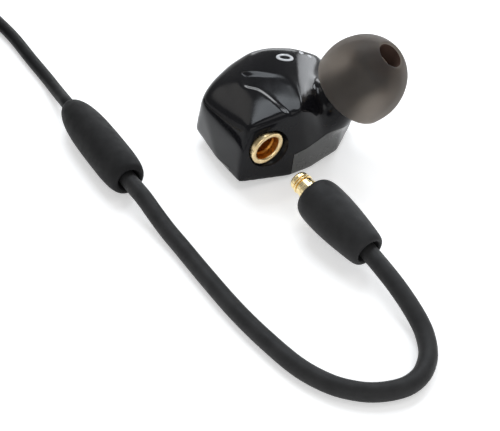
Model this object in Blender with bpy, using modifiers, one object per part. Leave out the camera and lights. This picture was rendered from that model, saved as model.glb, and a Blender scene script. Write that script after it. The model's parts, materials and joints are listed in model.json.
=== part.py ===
"""In-ear monitor, one side, with its detachable lead.

The earpiece lies on its outer cover. Its coaxial socket faces the plug of the
lead, which lies unplugged on the socket's own axis. From the plug a formed
ear loop runs round to a moulded junction, and the thin lead goes on to a
stored coil and a 3.5 mm plug.

Units in this file are millimetres, turned into metres by `mm`. The helper
`at` moves the drawing frame (socket centre above x = y = 0) to the part's own
frame, whose origin is under the middle of the earpiece.
"""

import math

import bmesh
import bpy
from mathutils import Matrix, Vector

# ---------------------------------------------------------------- dimensions
mm = 0.001
OX, OY = -4.60, -8.60          # drawing frame to part frame

# coaxial connector: axis heading from -Y towards +X, and its downward tilt
HEADING, TILT = math.radians(36.0), math.radians(7.5)
SOCKET_Z = 6.6
RING_R, RING_BORE = 2.70, 1.62
RING_FLANGE, RING_DEPTH = 0.8, 5.2
PLUG_TIP, GRIP_FRONT, GRIP_REAR = 7.0, 10.35, 22.5   # along the axis
PLUG_TRAVEL = 9.5
SLEEVE_R = 1.42

# nozzle and tip axis
TIP_BASE = Vector((12.10, 8.30, 11.0))
TIP_DIR = Vector((0.557, -0.229, 0.798)).normalized()
NOZZLE_R, NOZZLE_BORE = 2.25, 1.55
TIP_LEN, TIP_R, TIP_HOLE = 8.7, 6.25, 1.85
TIP_TRAVEL = 8.0

# cables
LOOP_R, LEAD_R = 1.225, 1.0
COIL_C = (-64.6, 40.6)
COIL_IN, COIL_OUT, COIL_Z, COIL_H = 6.9, 17.1, 0.7, 8.3

AXIS = Vector((
    math.sin(HEADING) * math.cos(TILT),
    -math.cos(HEADING) * math.cos(TILT),
    -math.sin(TILT),
))
SOCKET = Vector((0.0, 0.0, SOCKET_Z))

# ---------------------------------------------------------------- scene
for old in list(bpy.data.objects):
    bpy.data.objects.remove(old, do_unlink=True)

parts = bpy.data.collections.new("in_ear_monitor")
cutters = bpy.data.collections.new("cutters")
bpy.context.scene.collection.children.link(parts)
bpy.context.scene.collection.children.link(cutters)
cutters.hide_render = True


def at(p):
    """A drawing-frame point in millimetres as a world point in metres."""
    return Vector(((p[0] + OX) * mm, (p[1] + OY) * mm, p[2] * mm))


def material(name, colour, rough, metal=0.0, **more):
    made = bpy.data.materials.new(name)
    made.use_nodes = True
    shader = made.node_tree.nodes["Principled BSDF"]
    shader.inputs["Base Color"].default_value = (*colour, 1.0)
    shader.inputs["Roughness"].default_value = rough
    shader.inputs["Metallic"].default_value = metal
    for key, value in more.items():
        shader.inputs[key.replace("_", " ")].default_value = value
    return made


GLOSS_BLACK = (0.012, 0.013, 0.016)
RUBBER_BLACK = (0.010, 0.010, 0.011)
GOLD = (0.83, 0.66, 0.33)


def place(name, mesh, mat, matrix=None, where=parts):
    obj = bpy.data.objects.new(name, mesh)
    where.objects.link(obj)
    if matrix is not None:
        obj.matrix_world = matrix
    if where is cutters:
        obj.hide_render = True
        obj.display_type = "WIRE"
    if mat is not None:
        obj.data.materials.append(mat)
    return obj


def smooth(obj, angle=35):
    obj.data.shade_smooth()
    obj.data.set_sharp_from_angle(angle=math.radians(angle))


def along(origin, direction, up=None):
    """A matrix whose Z runs along `direction` from `origin` (drawing frame)."""
    z = Vector(direction).normalized()
    ref = Vector(up) if up else (Vector((0, 0, 1)) if abs(z.z) < 0.95 else Vector((1, 0, 0)))
    x = (ref - z * ref.dot(z)).normalized()
    y = z.cross(x)
    rot = Matrix((x, y, z)).transposed().to_4x4()
    return Matrix.Translation(at(origin)) @ rot


def turned(name, profile, mat, matrix, steps=24, where=parts):
    """A solid of revolution from (radius, height) points, by a Screw modifier."""
    area = sum(a[0] * b[1] - b[0] * a[1] for a, b in zip(profile, profile[1:] + profile[:1]))
    if area > 0:
        profile = profile[::-1]
    touches = [k for k, p in enumerate(profile) if p[0] < 1e-9]
    mesh = bpy.data.meshes.new(name)
    bm = bmesh.new()
    if touches:
        # start just after the axis edge, so that the axis itself is no edge
        last = max(touches, key=lambda k: profile[(k + 1) % len(profile)][0] > 1e-9)
        order = profile[last:] + profile[:last]
        verts = [bm.verts.new((r * mm, 0, h * mm)) for r, h in order]
        for a, b in zip(verts, verts[1:]):
            bm.edges.new((a, b))
    else:
        verts = [bm.verts.new((r * mm, 0, h * mm)) for r, h in profile]
        for a, b in zip(verts, verts[1:] + verts[:1]):
            bm.edges.new((a, b))
    bm.to_mesh(mesh)
    bm.free()
    obj = place(name, mesh, mat, matrix, where)
    screw = obj.modifiers.new("turn", "SCREW")
    screw.axis = "Z"
    screw.steps = screw.render_steps = steps
    screw.use_merge_vertices = True
    screw.merge_threshold = 1e-6
    screw.use_normal_calculate = False
    screw.use_smooth_shade = True
    return obj


def baked(obj):
    """The object with its modifiers applied, as a mesh with welded vertices."""
    bpy.context.view_layer.update()
    graph = bpy.context.evaluated_depsgraph_get()
    mesh = bpy.data.meshes.new_from_object(obj.evaluated_get(graph))
    bm = bmesh.new()
    bm.from_mesh(mesh)
    bmesh.ops.remove_doubles(bm, verts=bm.verts, dist=2e-7)
    bm.to_mesh(mesh)
    bm.free()
    obj.modifiers.clear()
    obj.data = mesh
    return obj


def boolean(obj, other, operation="DIFFERENCE"):
    made = obj.modifiers.new(operation.lower(), "BOOLEAN")
    made.operation = operation
    made.solver = "EXACT"
    made.object = other
    return made


def block(name, size, matrix, mat=None, where=parts, bevel=0.0):
    mesh = bpy.data.meshes.new(name)
    bm = bmesh.new()
    bmesh.ops.create_cube(bm, size=1.0)
    bmesh.ops.scale(bm, vec=Vector(size) * mm, verts=bm.verts)
    bm.to_mesh(mesh)
    bm.free()
    obj = place(name, mesh, mat, matrix, where)
    if bevel:
        mod = obj.modifiers.new("edges", "BEVEL")
        mod.width = bevel * mm
        mod.segments = 2
    return obj


def catmull(points, per):
    """A smooth curve through the points, `per` steps to each stretch."""
    pts = [Vector(p) for p in points]
    ext = [pts[0] * 2 - pts[1]] + pts + [pts[-1] * 2 - pts[-2]]
    out = []
    for k in range(1, len(ext) - 2):
        p0, p1, p2, p3 = ext[k - 1], ext[k], ext[k + 1], ext[k + 2]
        for s in range(per):
            t = s / per
            out.append(0.5 * (2 * p1 + (p2 - p0) * t + (2 * p0 - 5 * p1 + 4 * p2 - p3) * t * t
                              + (3 * p1 - p0 - 3 * p2 + p3) * t * t * t))
    out.append(pts[-1])
    return out


def spaced(path, step):
    """The path with its points an even distance apart."""
    length = sum((b - a).length for a, b in zip(path, path[1:]))
    count = max(2, round(length / step))
    want = [length * k / count for k in range(count + 1)]
    out, run, k = [], 0.0, 0
    for w in want:
        while k < len(path) - 2 and run + (path[k + 1] - path[k]).length < w:
            run += (path[k + 1] - path[k]).length
            k += 1
        seg = (path[k + 1] - path[k]).length
        out.append(path[k].lerp(path[k + 1], min(1.0, (w - run) / seg if seg else 0)))
    return out


def tube(name, path, radius, mat, resolution=2):
    data = bpy.data.curves.new(name, "CURVE")
    data.dimensions = "3D"
    data.bevel_depth = radius * mm
    data.bevel_resolution = resolution
    data.use_fill_caps = True
    data.materials.append(mat)
    spline = data.splines.new("POLY")
    spline.points.add(len(path) - 1)
    for point, p in zip(spline.points, path):
        point.co = (*at(p), 1.0)
    obj = bpy.data.objects.new(name, data)
    parts.objects.link(obj)
    return obj


# ---------------------------------------------------------------- earpiece shell
PAD = [(-6.0, 9.2), (-1.8, 2.8), (3.6, 3.4), (6.2, 4.8), (9.4, 8.2), (10.6, 12.6),
       (9.2, 16.2), (4.6, 17.6), (-1.6, 17.4), (-5.6, 14.6)]
RIM = [(-10.6, 10.0, 2.2), (-7.2, 3.1, 1.9), (-4.0, -1.8, 1.7), (3.2, 1.2, 0.45), (6.3, 3.0, 0.5),
       (10.4, 6.8, 0.6), (12.8, 12.4, 1.3), (11.4, 16.6, 1.6), (6.6, 18.9, 1.8),
       (-1.2, 19.0, 2.2), (-7.0, 16.6, 2.4)]
SHOULDER = [(-9.6, 8.4, 9.0), (-6.5, 3.9, 8.8), (-4.2, -0.3, 8.0), (-3.3, -1.6, 7.5),
            (-2.45, -0.8, 10.7), (1.5, 0.7, 10.9), (3.0, 1.4, 11.2), (4.6, 2.2, 11.7),
            (11.4, 8.9, 4.6), (12.6, 12.8, 4.6), (11.2, 16.4, 5.2), (8.0, 18.9, 9.8),
            (-8.8, 10.4, 9.7), (-7.9, 12.2, 9.9), (-5.6, 15.2, 10.4)]
CROWN = [(-2.4, 17.2, 11.6), (0.0, 17.8, 11.9), (4.0, 17.9, 11.7), (-3.6, 9.5, 11.7),
         (2.4, 10.4, 12.2), (4.8, 4.2, 12.0), (2.2, 14.6, 12.1), (-2.2, 13.6, 12.0),
         (6.2, 14.4, 10.9), (-1.7, 6.0, 11.85), (0.1, 4.4, 11.95), (1.9, 2.9, 11.8)]
SEAM_Z, SEAM_KX, SEAM_KY = 3.55, 0.165, -0.02


def hull(name, points, mat, where, bevel, centre=None, scale=None):
    """A faceted body: the convex hull of its corners, with rounded edges."""
    mesh = bpy.data.meshes.new(name)
    bm = bmesh.new()
    for p in points:
        q = Vector(p)
        if scale:
            q = Vector(centre) + Vector(a * b for a, b in zip(q - Vector(centre), scale))
        bm.verts.new(at(q))
    made = bmesh.ops.convex_hull(bm, input=bm.verts)
    spare = [g for g in made["geom_interior"] + made["geom_unused"] if isinstance(g, bmesh.types.BMVert)]
    bmesh.ops.delete(bm, geom=list(set(spare)), context="VERTS")
    bmesh.ops.dissolve_limit(bm, angle_limit=math.radians(6), verts=bm.verts, edges=bm.edges)
    bmesh.ops.recalc_face_normals(bm, faces=bm.faces)
    if bevel:
        sharp = [e for e in bm.edges if e.calc_face_angle(0) > math.radians(12)]
        bmesh.ops.bevel(bm, geom=sharp, offset=bevel * mm, segments=2, profile=0.5,
                        affect="EDGES", clamp_overlap=True)
        bmesh.ops.recalc_face_normals(bm, faces=bm.faces)
    bmesh.ops.triangulate(bm, faces=bm.faces)
    bm.to_mesh(mesh)
    bm.free()
    return place(name, mesh, mat, None, where)


corners = [(x, y, 0.0) for x, y in PAD] + RIM + SHOULDER + CROWN
MIDDLE = (0.8, 9.0, 6.1)
shell_black = material("shell_black", GLOSS_BLACK, 0.08, Coat_Weight=0.6, Coat_Roughness=0.03)
cover_black = material("cover_black", (0.02, 0.021, 0.024), 0.18, Coat_Weight=0.4)


def seam_block(name, drop, grow):
    """Everything under the seam plane, less the socket's boss."""
    normal = Vector((-SEAM_KX, -SEAM_KY, 1.0)).normalized()
    top = (0.8, 9.0, SEAM_Z + SEAM_KX * 0.8 + SEAM_KY * 9.0 - drop)
    under = block(name, (60, 60, 30), along(Vector(top) - normal * 15, normal, (1, 0, 0)), None, cutters)
    face = Vector((0.385, -0.923, 0.0)).normalized()
    side = Vector((0.923, 0.385, 0.0))
    mid = Vector((-4.0, -1.8, 3.0)) + side * 4.1 + face * 1.6
    boss = block(name + "_boss", (40, 9.6 + 2 * grow, 8.4 + 2 * grow),
                 along(mid, face, (0, 0, 1)), None, cutters)
    boolean(under, boss)
    return under


below_shell = seam_block("below_shell", 0.0, 0.0)
below_cover = seam_block("below_cover", 0.07, 0.07)
cavity = hull("cavity", corners, None, cutters, 0.0, MIDDLE, (0.86, 0.86, 0.80))

nozzle_frame = along(TIP_BASE, TIP_DIR)
neck = turned("neck", [(0, -6.0), (4.1, -6.0), (3.9, -4.4), (3.65, -3.4), (3.5, -2.4), (3.4, -1.5),
                       (3.25, -1.2), (0, -1.2)], None, nozzle_frame, 32, cutters)
nozzle_hole = turned("nozzle_hole", [(0, -8.0), (NOZZLE_R + 0.12, -8.0), (NOZZLE_R + 0.12, 2.0), (0, 2.0)],
                     None, nozzle_frame, 28, cutters)
socket_frame = along(SOCKET, AXIS)
socket_hole = turned("socket_hole", [(0, -8.0), (2.36, -8.0), (2.36, -0.85), (2.82, -0.85), (2.82, -0.05),
                                     (3.15, -0.05), (3.55, 3.0), (0, 3.0)], None, socket_frame, 32, cutters)

shell = hull("inner_shell", corners, shell_black, parts, 0.55)
boolean(shell, neck, "UNION")
boolean(shell, cavity)
boolean(shell, nozzle_hole)
boolean(shell, socket_hole)
boolean(shell, below_shell)
baked(shell)
smooth(shell, 40)

cover = hull("outer_cover", corners, cover_black, parts, 0.55)
boolean(cover, below_cover, "INTERSECT")
boolean(cover, cavity)
boolean(cover, nozzle_hole)
baked(cover)
smooth(cover, 40)

# ---------------------------------------------------------------- nozzle and tip
nozzle_mat = material("nozzle_black", (0.02, 0.02, 0.022), 0.25)
turned("nozzle_tube", [(NOZZLE_BORE, -6.8), (NOZZLE_R, -6.8), (NOZZLE_R, 5.2), (NOZZLE_R - 0.3, 5.6),
                       (NOZZLE_BORE, 5.6)], nozzle_mat, nozzle_frame, 28)
turned("nozzle_screen", [(0, 4.95), (NOZZLE_BORE - 0.06, 4.95), (NOZZLE_BORE - 0.06, 5.35), (0, 5.35)],
       material("screen_copper", (0.20, 0.09, 0.06), 0.5, 0.6), nozzle_frame, 24)
turned("acoustic_damper", [(0, 1.0), (NOZZLE_BORE - 0.06, 1.0), (NOZZLE_BORE - 0.06, 3.6), (0, 3.6)],
       material("damper_green", (0.05, 0.20, 0.12), 0.6), nozzle_frame, 20)

CORE_OUT, CORE_IN = 3.05, NOZZLE_R + 0.10
tip_profile = [
    (CORE_IN, -0.6), (CORE_OUT, -0.6), (CORE_OUT, 5.6), (3.35, 6.3), (4.1, 6.2), (4.9, 5.0),
    (5.35, 3.2), (5.55, 1.4), (5.6, 0.0), (6.0, 0.0), (6.2, 1.2), (TIP_R, 2.5), (6.05, 3.8), (5.55, 5.3),
    (4.8, 6.6), (3.9, 7.6), (2.9, 8.35), (2.3, TIP_LEN), (2.0, TIP_LEN), (TIP_HOLE, 8.5),
    (TIP_HOLE, 6.1), (CORE_IN, 5.8),
]
turned("ear_tip", tip_profile, material("tip_silicone", (0.10, 0.09, 0.085), 0.35, Alpha=1.0), nozzle_frame, 40)

# ---------------------------------------------------------------- socket
gold_ring = material("gold_ring", GOLD, 0.22, 1.0)
turned("socket_ring", [
    (RING_BORE, -RING_DEPTH), (2.28, -RING_DEPTH), (2.28, -0.75), (RING_R, -0.75), (RING_R, 0.10),
    (2.60, 0.25), (2.10, 0.25), (1.90, 0.02), (1.80, -0.9), (RING_BORE, -1.2),
], gold_ring, socket_frame, 36)
turned("socket_insulator", [
    (0.42, -5.1), (RING_BORE - 0.06, -5.1), (RING_BORE - 0.06, -3.1), (0.95, -3.1), (0.95, -3.4), (0.42, -3.4),
], material("socket_insulator", (0.55, 0.50, 0.42), 0.5), socket_frame, 24)
turned("socket_contact", [
    (0.0, -6.2), (0.36, -6.2), (0.36, -3.1), (0.36, -1.75), (0.27, -1.75), (0.27, -4.2), (0.0, -4.2),
], material("contact_gold", GOLD, 0.3, 1.0), socket_frame, 16)

# ---------------------------------------------------------------- inside the shell
steel = material("driver_steel", (0.60, 0.60, 0.62), 0.3, 1.0)


def level(p, turn=0.0):
    return Matrix.Translation(at(p)) @ Matrix.Rotation(math.radians(turn), 4, "Z")


block("bass_driver", (7.8, 5.4, 3.3), level((-0.4, 11.9, 4.5), 12), steel, parts, 0.35)
block("mid_driver", (5.8, 3.9, 2.2), level((-1.8, 12.0, 7.9), 20), steel, parts, 0.3)
block("treble_driver", (4.8, 2.6, 1.9), level((2.4, 5.6, 5.0), 40), steel, parts, 0.25)
block("crossover_board", (4.6, 0.7, 3.0), level((-5.3, 8.1, 4.9), -62),
      material("board_green", (0.02, 0.12, 0.06), 0.5), parts)
block("crossover_capacitor", (1.7, 1.0, 1.4), level((-4.35, 8.6, 4.9), -62),
      material("capacitor_tan", (0.45, 0.30, 0.14), 0.5), parts, 0.15)
tube_mat = material("sound_tube_clear", (0.55, 0.55, 0.55), 0.3)
n_in = TIP_BASE - TIP_DIR * 8.0
tube("bass_sound_tube", spaced(catmull([(4.05, 13.1, 4.7), (4.9, 13.0, 4.8), (6.0, 12.3, 4.6), (7.0, 11.3, 4.3)], 6), 0.8),
     0.55, tube_mat, 1)
tube("treble_sound_tube", spaced(catmull([(4.6, 7.4, 4.5), (5.2, 8.1, 4.1), (6.1, 8.9, 3.8)], 6), 0.8),
     0.45, tube_mat, 1)
tube("signal_wire", spaced(catmull([(-3.9, 5.6, 7.9), (-4.7, 6.7, 8.2), (-5.2, 7.9, 7.2)], 6), 0.7), 0.16,
     material("wire_red", (0.45, 0.02, 0.02), 0.4), 1)
tube("ground_wire", spaced(catmull([(-3.0, 6.8, 7.1), (-1.6, 7.6, 7.6), (-0.4, 8.6, 7.0)], 6), 0.7), 0.16,
     material("wire_blue", (0.02, 0.08, 0.45), 0.4), 1)

# ---------------------------------------------------------------- plug
plug_frame = along(SOCKET, -AXIS)      # Z runs back towards the socket


def on_axis(profile):
    """Radius and distance from the socket, in the plug's frame."""
    return [(r, -h) for r, h in profile]


turned("plug_sleeve", on_axis([
    (0.98, PLUG_TIP + 0.1), (SLEEVE_R - 0.18, PLUG_TIP), (SLEEVE_R, PLUG_TIP + 0.3), (SLEEVE_R, 7.85), (1.22, 7.95),
    (1.22, 8.45), (SLEEVE_R, 8.55), (SLEEVE_R, 9.2), (1.52, 9.3), (1.52, 12.2), (0.98, 12.2),
]), gold_ring, plug_frame, 28)
turned("plug_insulator", on_axis([
    (0.30, 8.0), (0.92, 8.0), (0.92, 11.8), (0.30, 11.8),
]), material("plug_insulator", (0.8, 0.78, 0.7), 0.5), plug_frame, 20)
turned("plug_pin", on_axis([
    (0.0, 7.25), (0.10, 7.25), (0.22, 7.55), (0.22, 12.0), (0.0, 12.0),
]), material("pin_gold", GOLD, 0.25, 1.0), plug_frame, 14)
# split ring in the sleeve's groove, which lets the earpiece turn on the plug
snap = turned("snap_ring", on_axis([
    (1.27, 8.02), (1.46, 8.02), (1.54, 8.2), (1.46, 8.38), (1.27, 8.38),
]), material("snap_ring_gold", (0.85, 0.62, 0.28), 0.25, 1.0), plug_frame, 32)
slot = block("snap_slot", (0.45, 3.0, 1.2), plug_frame @ Matrix.Translation((0, 1.9 * mm, -8.2 * mm)), None, cutters)
boolean(snap, slot)
baked(snap)
smooth(snap)

grip_black = material("grip_black", RUBBER_BLACK, 0.45)
turned("plug_grip", on_axis([
    (1.60, GRIP_FRONT), (2.35, GRIP_FRONT), (2.72, 10.5), (3.02, 11.0), (3.22, 11.8), (3.30, 13.0), (3.30, 14.6),
    (3.18, 16.8), (2.98, 18.8), (2.72, 20.9), (2.55, 21.9), (2.30, 22.35), (1.95, GRIP_REAR), (1.72, 22.35),
    (1.62, 21.4), (1.30, 20.8), (1.30, 20.3), (0.0, 20.3), (0.0, 12.4), (1.60, 12.4),
]), grip_black, plug_frame, 36)

# ---------------------------------------------------------------- ear loop and junction
JUNC_A, JUNC_B = Vector((-29.65, 14.40, 3.05)), Vector((-19.30, -2.95, 3.05))
junction_dir = (JUNC_B - JUNC_A).normalized()
LOOP = [
    SOCKET + AXIS * 20.6, SOCKET + AXIS * 22.4, (15.75, -22.7, 3.15), (17.75, -26.5, 2.35), (18.95, -29.3, 1.6),
    (19.35, -31.6, 1.25), (19.2, -34.0, 1.25), (18.3, -36.4, 1.25), (16.9, -38.0, 1.25), (15.2, -38.9, 1.25),
    (12.7, -39.4, 1.25), (10.1, -39.2, 1.25), (7.0, -38.1, 1.25), (3.4, -35.5, 1.25), (-0.5, -31.1, 1.25),
    (-4.2, -26.2, 1.25), (-7.9, -20.5, 1.25), (-11.6, -14.5, 1.25), (-13.55, -11.6, 1.5), (-15.45, -8.7, 2.05),
    (-17.1, -6.2, 2.7), JUNC_B + junction_dir * 0.9, JUNC_B - junction_dir * 1.6,
]
tube("ear_loop_cable", spaced(catmull(LOOP, 8), 2.6), LOOP_R, material("loop_black", RUBBER_BLACK, 0.5), 2)

junction_frame = along(JUNC_A, junction_dir)
jl = (JUNC_B - JUNC_A).length
turned("junction_sleeve", [
    (1.06, 0.0), (1.35, 0.15), (1.85, 1.0), (2.35, 2.4), (2.72, 4.4), (2.95, 7.0), (3.03, 10.5), (3.03, 15.0),
    (2.98, jl - 3.4), (2.80, jl - 1.6), (2.45, jl - 0.5), (1.95, jl), (1.65, jl - 0.2), (1.45, jl - 1.2),
    (1.30, jl - 1.9), (0.0, jl - 1.9), (0.0, 1.4), (1.06, 1.4),
], material("junction_black", RUBBER_BLACK, 0.45), junction_frame, 32)

# ---------------------------------------------------------------- lead, coil and 3.5 mm plug
COIL = Vector((COIL_C[0], COIL_C[1], 0))
PHI = math.radians(35)
touch = COIL + Vector((math.cos(PHI), math.sin(PHI), 0)) * (COIL_OUT - LEAD_R) + Vector((0, 0, 1.5))
tangent = Vector((-math.sin(PHI), math.cos(PHI), 0))
LEAD = [
    JUNC_A + junction_dir * 1.1, JUNC_A - junction_dir * 0.9, (-31.15, 17.5, 2.35), (-32.9, 21.2, 1.5), (-34.65, 24.6, 1.05),
    (-37.95, 30.0, 1.02), (-41.4, 35.8, 1.02), (-44.3, 40.0, 1.02), (-47.6, 44.2, 1.1), touch - tangent * 1.6,
]
lead_path = catmull(LEAD, 8)
# the lead meets the coil's outside, and stops a little short of it
edge = COIL_OUT + LEAD_R + 0.3
while (lead_path[-1] - COIL).xy.length < edge and len(lead_path) > 4:
    lead_path.pop()
lead_black = material("lead_black", RUBBER_BLACK, 0.5)
tube("lead_cable", spaced(lead_path, 2.4), LEAD_R, lead_black, 2)

turned("lead_coil", [
    (COIL_IN + 0.7, 0.0), (COIL_OUT - 0.7, 0.0), (COIL_OUT, 0.8), (COIL_OUT, COIL_H - 1.0), (COIL_OUT - 0.9, COIL_H),
    (COIL_IN + 0.9, COIL_H), (COIL_IN, COIL_H - 1.0), (COIL_IN, 0.8),
], lead_black, Matrix.Translation(at((COIL.x, COIL.y, COIL_Z))), 32)

TAIL_Z = COIL_Z + COIL_H + 0.3 + LEAD_R
def ring_point(angle, radius, z):
    a = math.radians(angle)
    return COIL + Vector((radius * math.cos(a), radius * math.sin(a), z))


BODY_DIR = Vector((-0.10, -0.995, 0.0)).normalized()
MINI = COIL + Vector((-23.6, 6.5, 3.75))            # where the boot begins
TAIL = [ring_point(-30, 8.2, TAIL_Z), ring_point(20, 9.2, TAIL_Z), ring_point(65, 11.6, TAIL_Z),
        ring_point(100, 14.8, TAIL_Z), ring_point(125, 18.4, TAIL_Z - 0.6), ring_point(143, 21.8, 7.4),
        MINI - BODY_DIR * 5.2 + Vector((0.0, 0.0, 1.4)), MINI - BODY_DIR * 1.6, MINI + BODY_DIR * 1.4]
tube("lead_tail", spaced(catmull(TAIL, 8), 2.4), LEAD_R, lead_black, 2)

mini_frame = along(MINI, BODY_DIR)
turned("mini_boot", [(1.08, 0.0), (1.5, 0.0), (1.75, 0.3), (2.45, 7.6), (2.45, 8.0), (0.0, 8.0), (0.0, 1.8), (1.08, 1.8)],
       grip_black, mini_frame, 24)
turned("mini_grip", [(0.0, 8.25), (2.9, 8.25), (3.45, 8.9), (3.70, 10.5), (3.70, 24.2), (3.45, 25.0), (2.6, 25.3),
                     (0.0, 25.3)], material("mini_grip_black", RUBBER_BLACK, 0.35), mini_frame, 28)
turned("mini_collar", [(0.0, 25.55), (2.55, 25.55), (2.55, 26.5), (0.0, 26.5)], gold_ring, mini_frame, 24)
turned("mini_sleeve_contact", [(0.0, 26.7), (1.75, 26.7), (1.75, 32.2), (0.0, 32.2)], gold_ring, mini_frame, 24)
turned("mini_band_rear", [(0.0, 32.35), (1.72, 32.35), (1.72, 33.0), (0.0, 33.0)],
       material("band_black", (0.02, 0.02, 0.02), 0.4), mini_frame, 24)
turned("mini_ring_contact", [(0.0, 33.15), (1.75, 33.15), (1.75, 35.0), (0.0, 35.0)], gold_ring, mini_frame, 24)
turned("mini_band_front", [(0.0, 35.15), (1.72, 35.15), (1.72, 35.75), (0.0, 35.75)],
       material("band_black_2", (0.02, 0.02, 0.02), 0.4), mini_frame, 24)
turned("mini_tip_contact", [(0.0, 35.9), (1.75, 35.9), (1.75, 36.6), (1.25, 37.3), (1.25, 37.6), (1.72, 38.4),
                            (1.45, 39.3), (0.5, 40.3), (0.0, 40.4)], gold_ring, mini_frame, 24)

# hook-and-loop tie round one side of the coil
TIE_W, TIE_T = 4.5, 0.4
wide, high = 11.1, COIL_H + 0.6
tie_matrix = (Matrix.Translation(at(ring_point(215, 11.9, TIE_T + high / 2)))
              @ Matrix.Rotation(math.radians(215), 4, "Z"))
tie = block("coil_tie", (wide + 2 * TIE_T, TIE_W, high + 2 * TIE_T), tie_matrix,
            material("tie_black", (0.02, 0.02, 0.02), 0.8), parts, 0.25)
boolean(tie, block("tie_hole", (wide, TIE_W + 4, high), tie_matrix, None, cutters))
baked(tie)
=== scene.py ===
import json
import math

import bmesh
import bpy
import numpy as np
from mathutils import Matrix, Vector
from mathutils.bvhtree import BVHTree

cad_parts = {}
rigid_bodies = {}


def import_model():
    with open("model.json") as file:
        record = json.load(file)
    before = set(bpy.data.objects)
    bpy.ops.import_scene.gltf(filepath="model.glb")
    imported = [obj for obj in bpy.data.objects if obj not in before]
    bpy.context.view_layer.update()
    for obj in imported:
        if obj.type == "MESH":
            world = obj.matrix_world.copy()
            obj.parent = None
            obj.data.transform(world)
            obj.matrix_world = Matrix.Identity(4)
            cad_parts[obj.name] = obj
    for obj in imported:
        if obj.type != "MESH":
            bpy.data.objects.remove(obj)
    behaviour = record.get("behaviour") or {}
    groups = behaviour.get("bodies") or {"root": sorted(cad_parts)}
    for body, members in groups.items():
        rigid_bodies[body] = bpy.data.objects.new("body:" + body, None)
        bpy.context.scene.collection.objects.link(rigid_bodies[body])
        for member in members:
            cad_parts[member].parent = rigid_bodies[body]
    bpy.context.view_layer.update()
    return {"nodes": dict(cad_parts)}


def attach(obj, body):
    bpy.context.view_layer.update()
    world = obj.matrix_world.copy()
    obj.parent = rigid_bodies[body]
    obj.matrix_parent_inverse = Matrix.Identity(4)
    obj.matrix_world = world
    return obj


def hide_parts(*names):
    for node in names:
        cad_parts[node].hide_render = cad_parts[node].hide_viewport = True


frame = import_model()

mm = 0.001
OX, OY = -4.60, -8.60
scene = bpy.context.scene
nodes = frame["nodes"]


def at(p):
    return Vector(((p[0] + OX) * mm, (p[1] + OY) * mm, p[2] * mm))


# ================================================================ camera
cam_data = bpy.data.cameras.new("camera")
cam_data.sensor_width = 36.0
cam_data.sensor_fit = "HORIZONTAL"
cam_data.lens = 84.857
cam_data.clip_start, cam_data.clip_end = 0.01, 20.0
camera = bpy.data.objects.new("camera", cam_data)
scene.collection.objects.link(camera)
camera.location = at((-2.436, -128.942, 109.984))
camera.rotation_euler = (math.radians(48.0), 0.0, 0.0)
scene.camera = camera

# ================================================================ numbers shared with the CAD
HEADING, TILT = math.radians(36.0), math.radians(7.5)
SOCKET_Z = 6.6
AXIS = Vector((math.sin(HEADING) * math.cos(TILT), -math.cos(HEADING) * math.cos(TILT), -math.sin(TILT)))
SOCKET = Vector((0.0, 0.0, SOCKET_Z))
TIP_BASE = Vector((12.10, 8.30, 11.0))
TIP_DIR = Vector((0.557, -0.229, 0.798)).normalized()
LOOP_R, LEAD_R = 1.225, 1.0
COIL = Vector((-64.6, 40.6, 0.0))
JUNC_A, JUNC_B = Vector((-29.65, 14.40, 3.05)), Vector((-19.30, -2.95, 3.05))
JUNC_DIR = (JUNC_B - JUNC_A).normalized()
BODY_DIR = Vector((-0.10, -0.995, 0.0)).normalized()
MINI = COIL + Vector((-23.6, 6.5, 3.75))


def catmull(points, per):
    pts = [Vector(p) for p in points]
    ext = [pts[0] * 2 - pts[1]] + pts + [pts[-1] * 2 - pts[-2]]
    out = []
    for k in range(1, len(ext) - 2):
        p0, p1, p2, p3 = ext[k - 1], ext[k], ext[k + 1], ext[k + 2]
        for s in range(per):
            t = s / per
            out.append(0.5 * (2 * p1 + (p2 - p0) * t + (2 * p0 - 5 * p1 + 4 * p2 - p3) * t * t
                              + (3 * p1 - p0 - 3 * p2 + p3) * t * t * t))
    out.append(pts[-1])
    return out


def spaced(path, step):
    length = sum((b - a).length for a, b in zip(path, path[1:]))
    count = max(2, round(length / step))
    want = [length * k / count for k in range(count + 1)]
    out, run, k = [], 0.0, 0
    for w in want:
        while k < len(path) - 2 and run + (path[k + 1] - path[k]).length < w:
            run += (path[k + 1] - path[k]).length
            k += 1
        seg = (path[k + 1] - path[k]).length
        out.append(path[k].lerp(path[k + 1], min(1.0, (w - run) / seg if seg else 0)))
    return out


def length_of(path):
    return sum((b - a).length for a, b in zip(path, path[1:]))


def along(origin, direction, up=None):
    z = Vector(direction).normalized()
    ref = Vector(up) if up else (Vector((0, 0, 1)) if abs(z.z) < 0.95 else Vector((1, 0, 0)))
    x = (ref - z * ref.dot(z)).normalized()
    y = z.cross(x)
    return Matrix.Translation(at(origin)) @ Matrix((x, y, z)).transposed().to_4x4()


# ================================================================ materials
def new_material(name):
    made = bpy.data.materials.new(name)
    made.use_nodes = True
    return made, made.node_tree.nodes, made.node_tree.links, made.node_tree.nodes["Principled BSDF"]


def noise(nodes_, links, coords, scale, detail=3.0, rough=0.55, stretch=None):
    source = coords
    if stretch:
        mapping = nodes_.new("ShaderNodeMapping")
        mapping.inputs["Scale"].default_value = stretch
        links.new(coords, mapping.inputs["Vector"])
        source = mapping.outputs["Vector"]
    n = nodes_.new("ShaderNodeTexNoise")
    n.inputs["Scale"].default_value = scale
    n.inputs["Detail"].default_value = detail
    n.inputs["Roughness"].default_value = rough
    links.new(source, n.inputs["Vector"])
    return n.outputs["Fac"]


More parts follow.
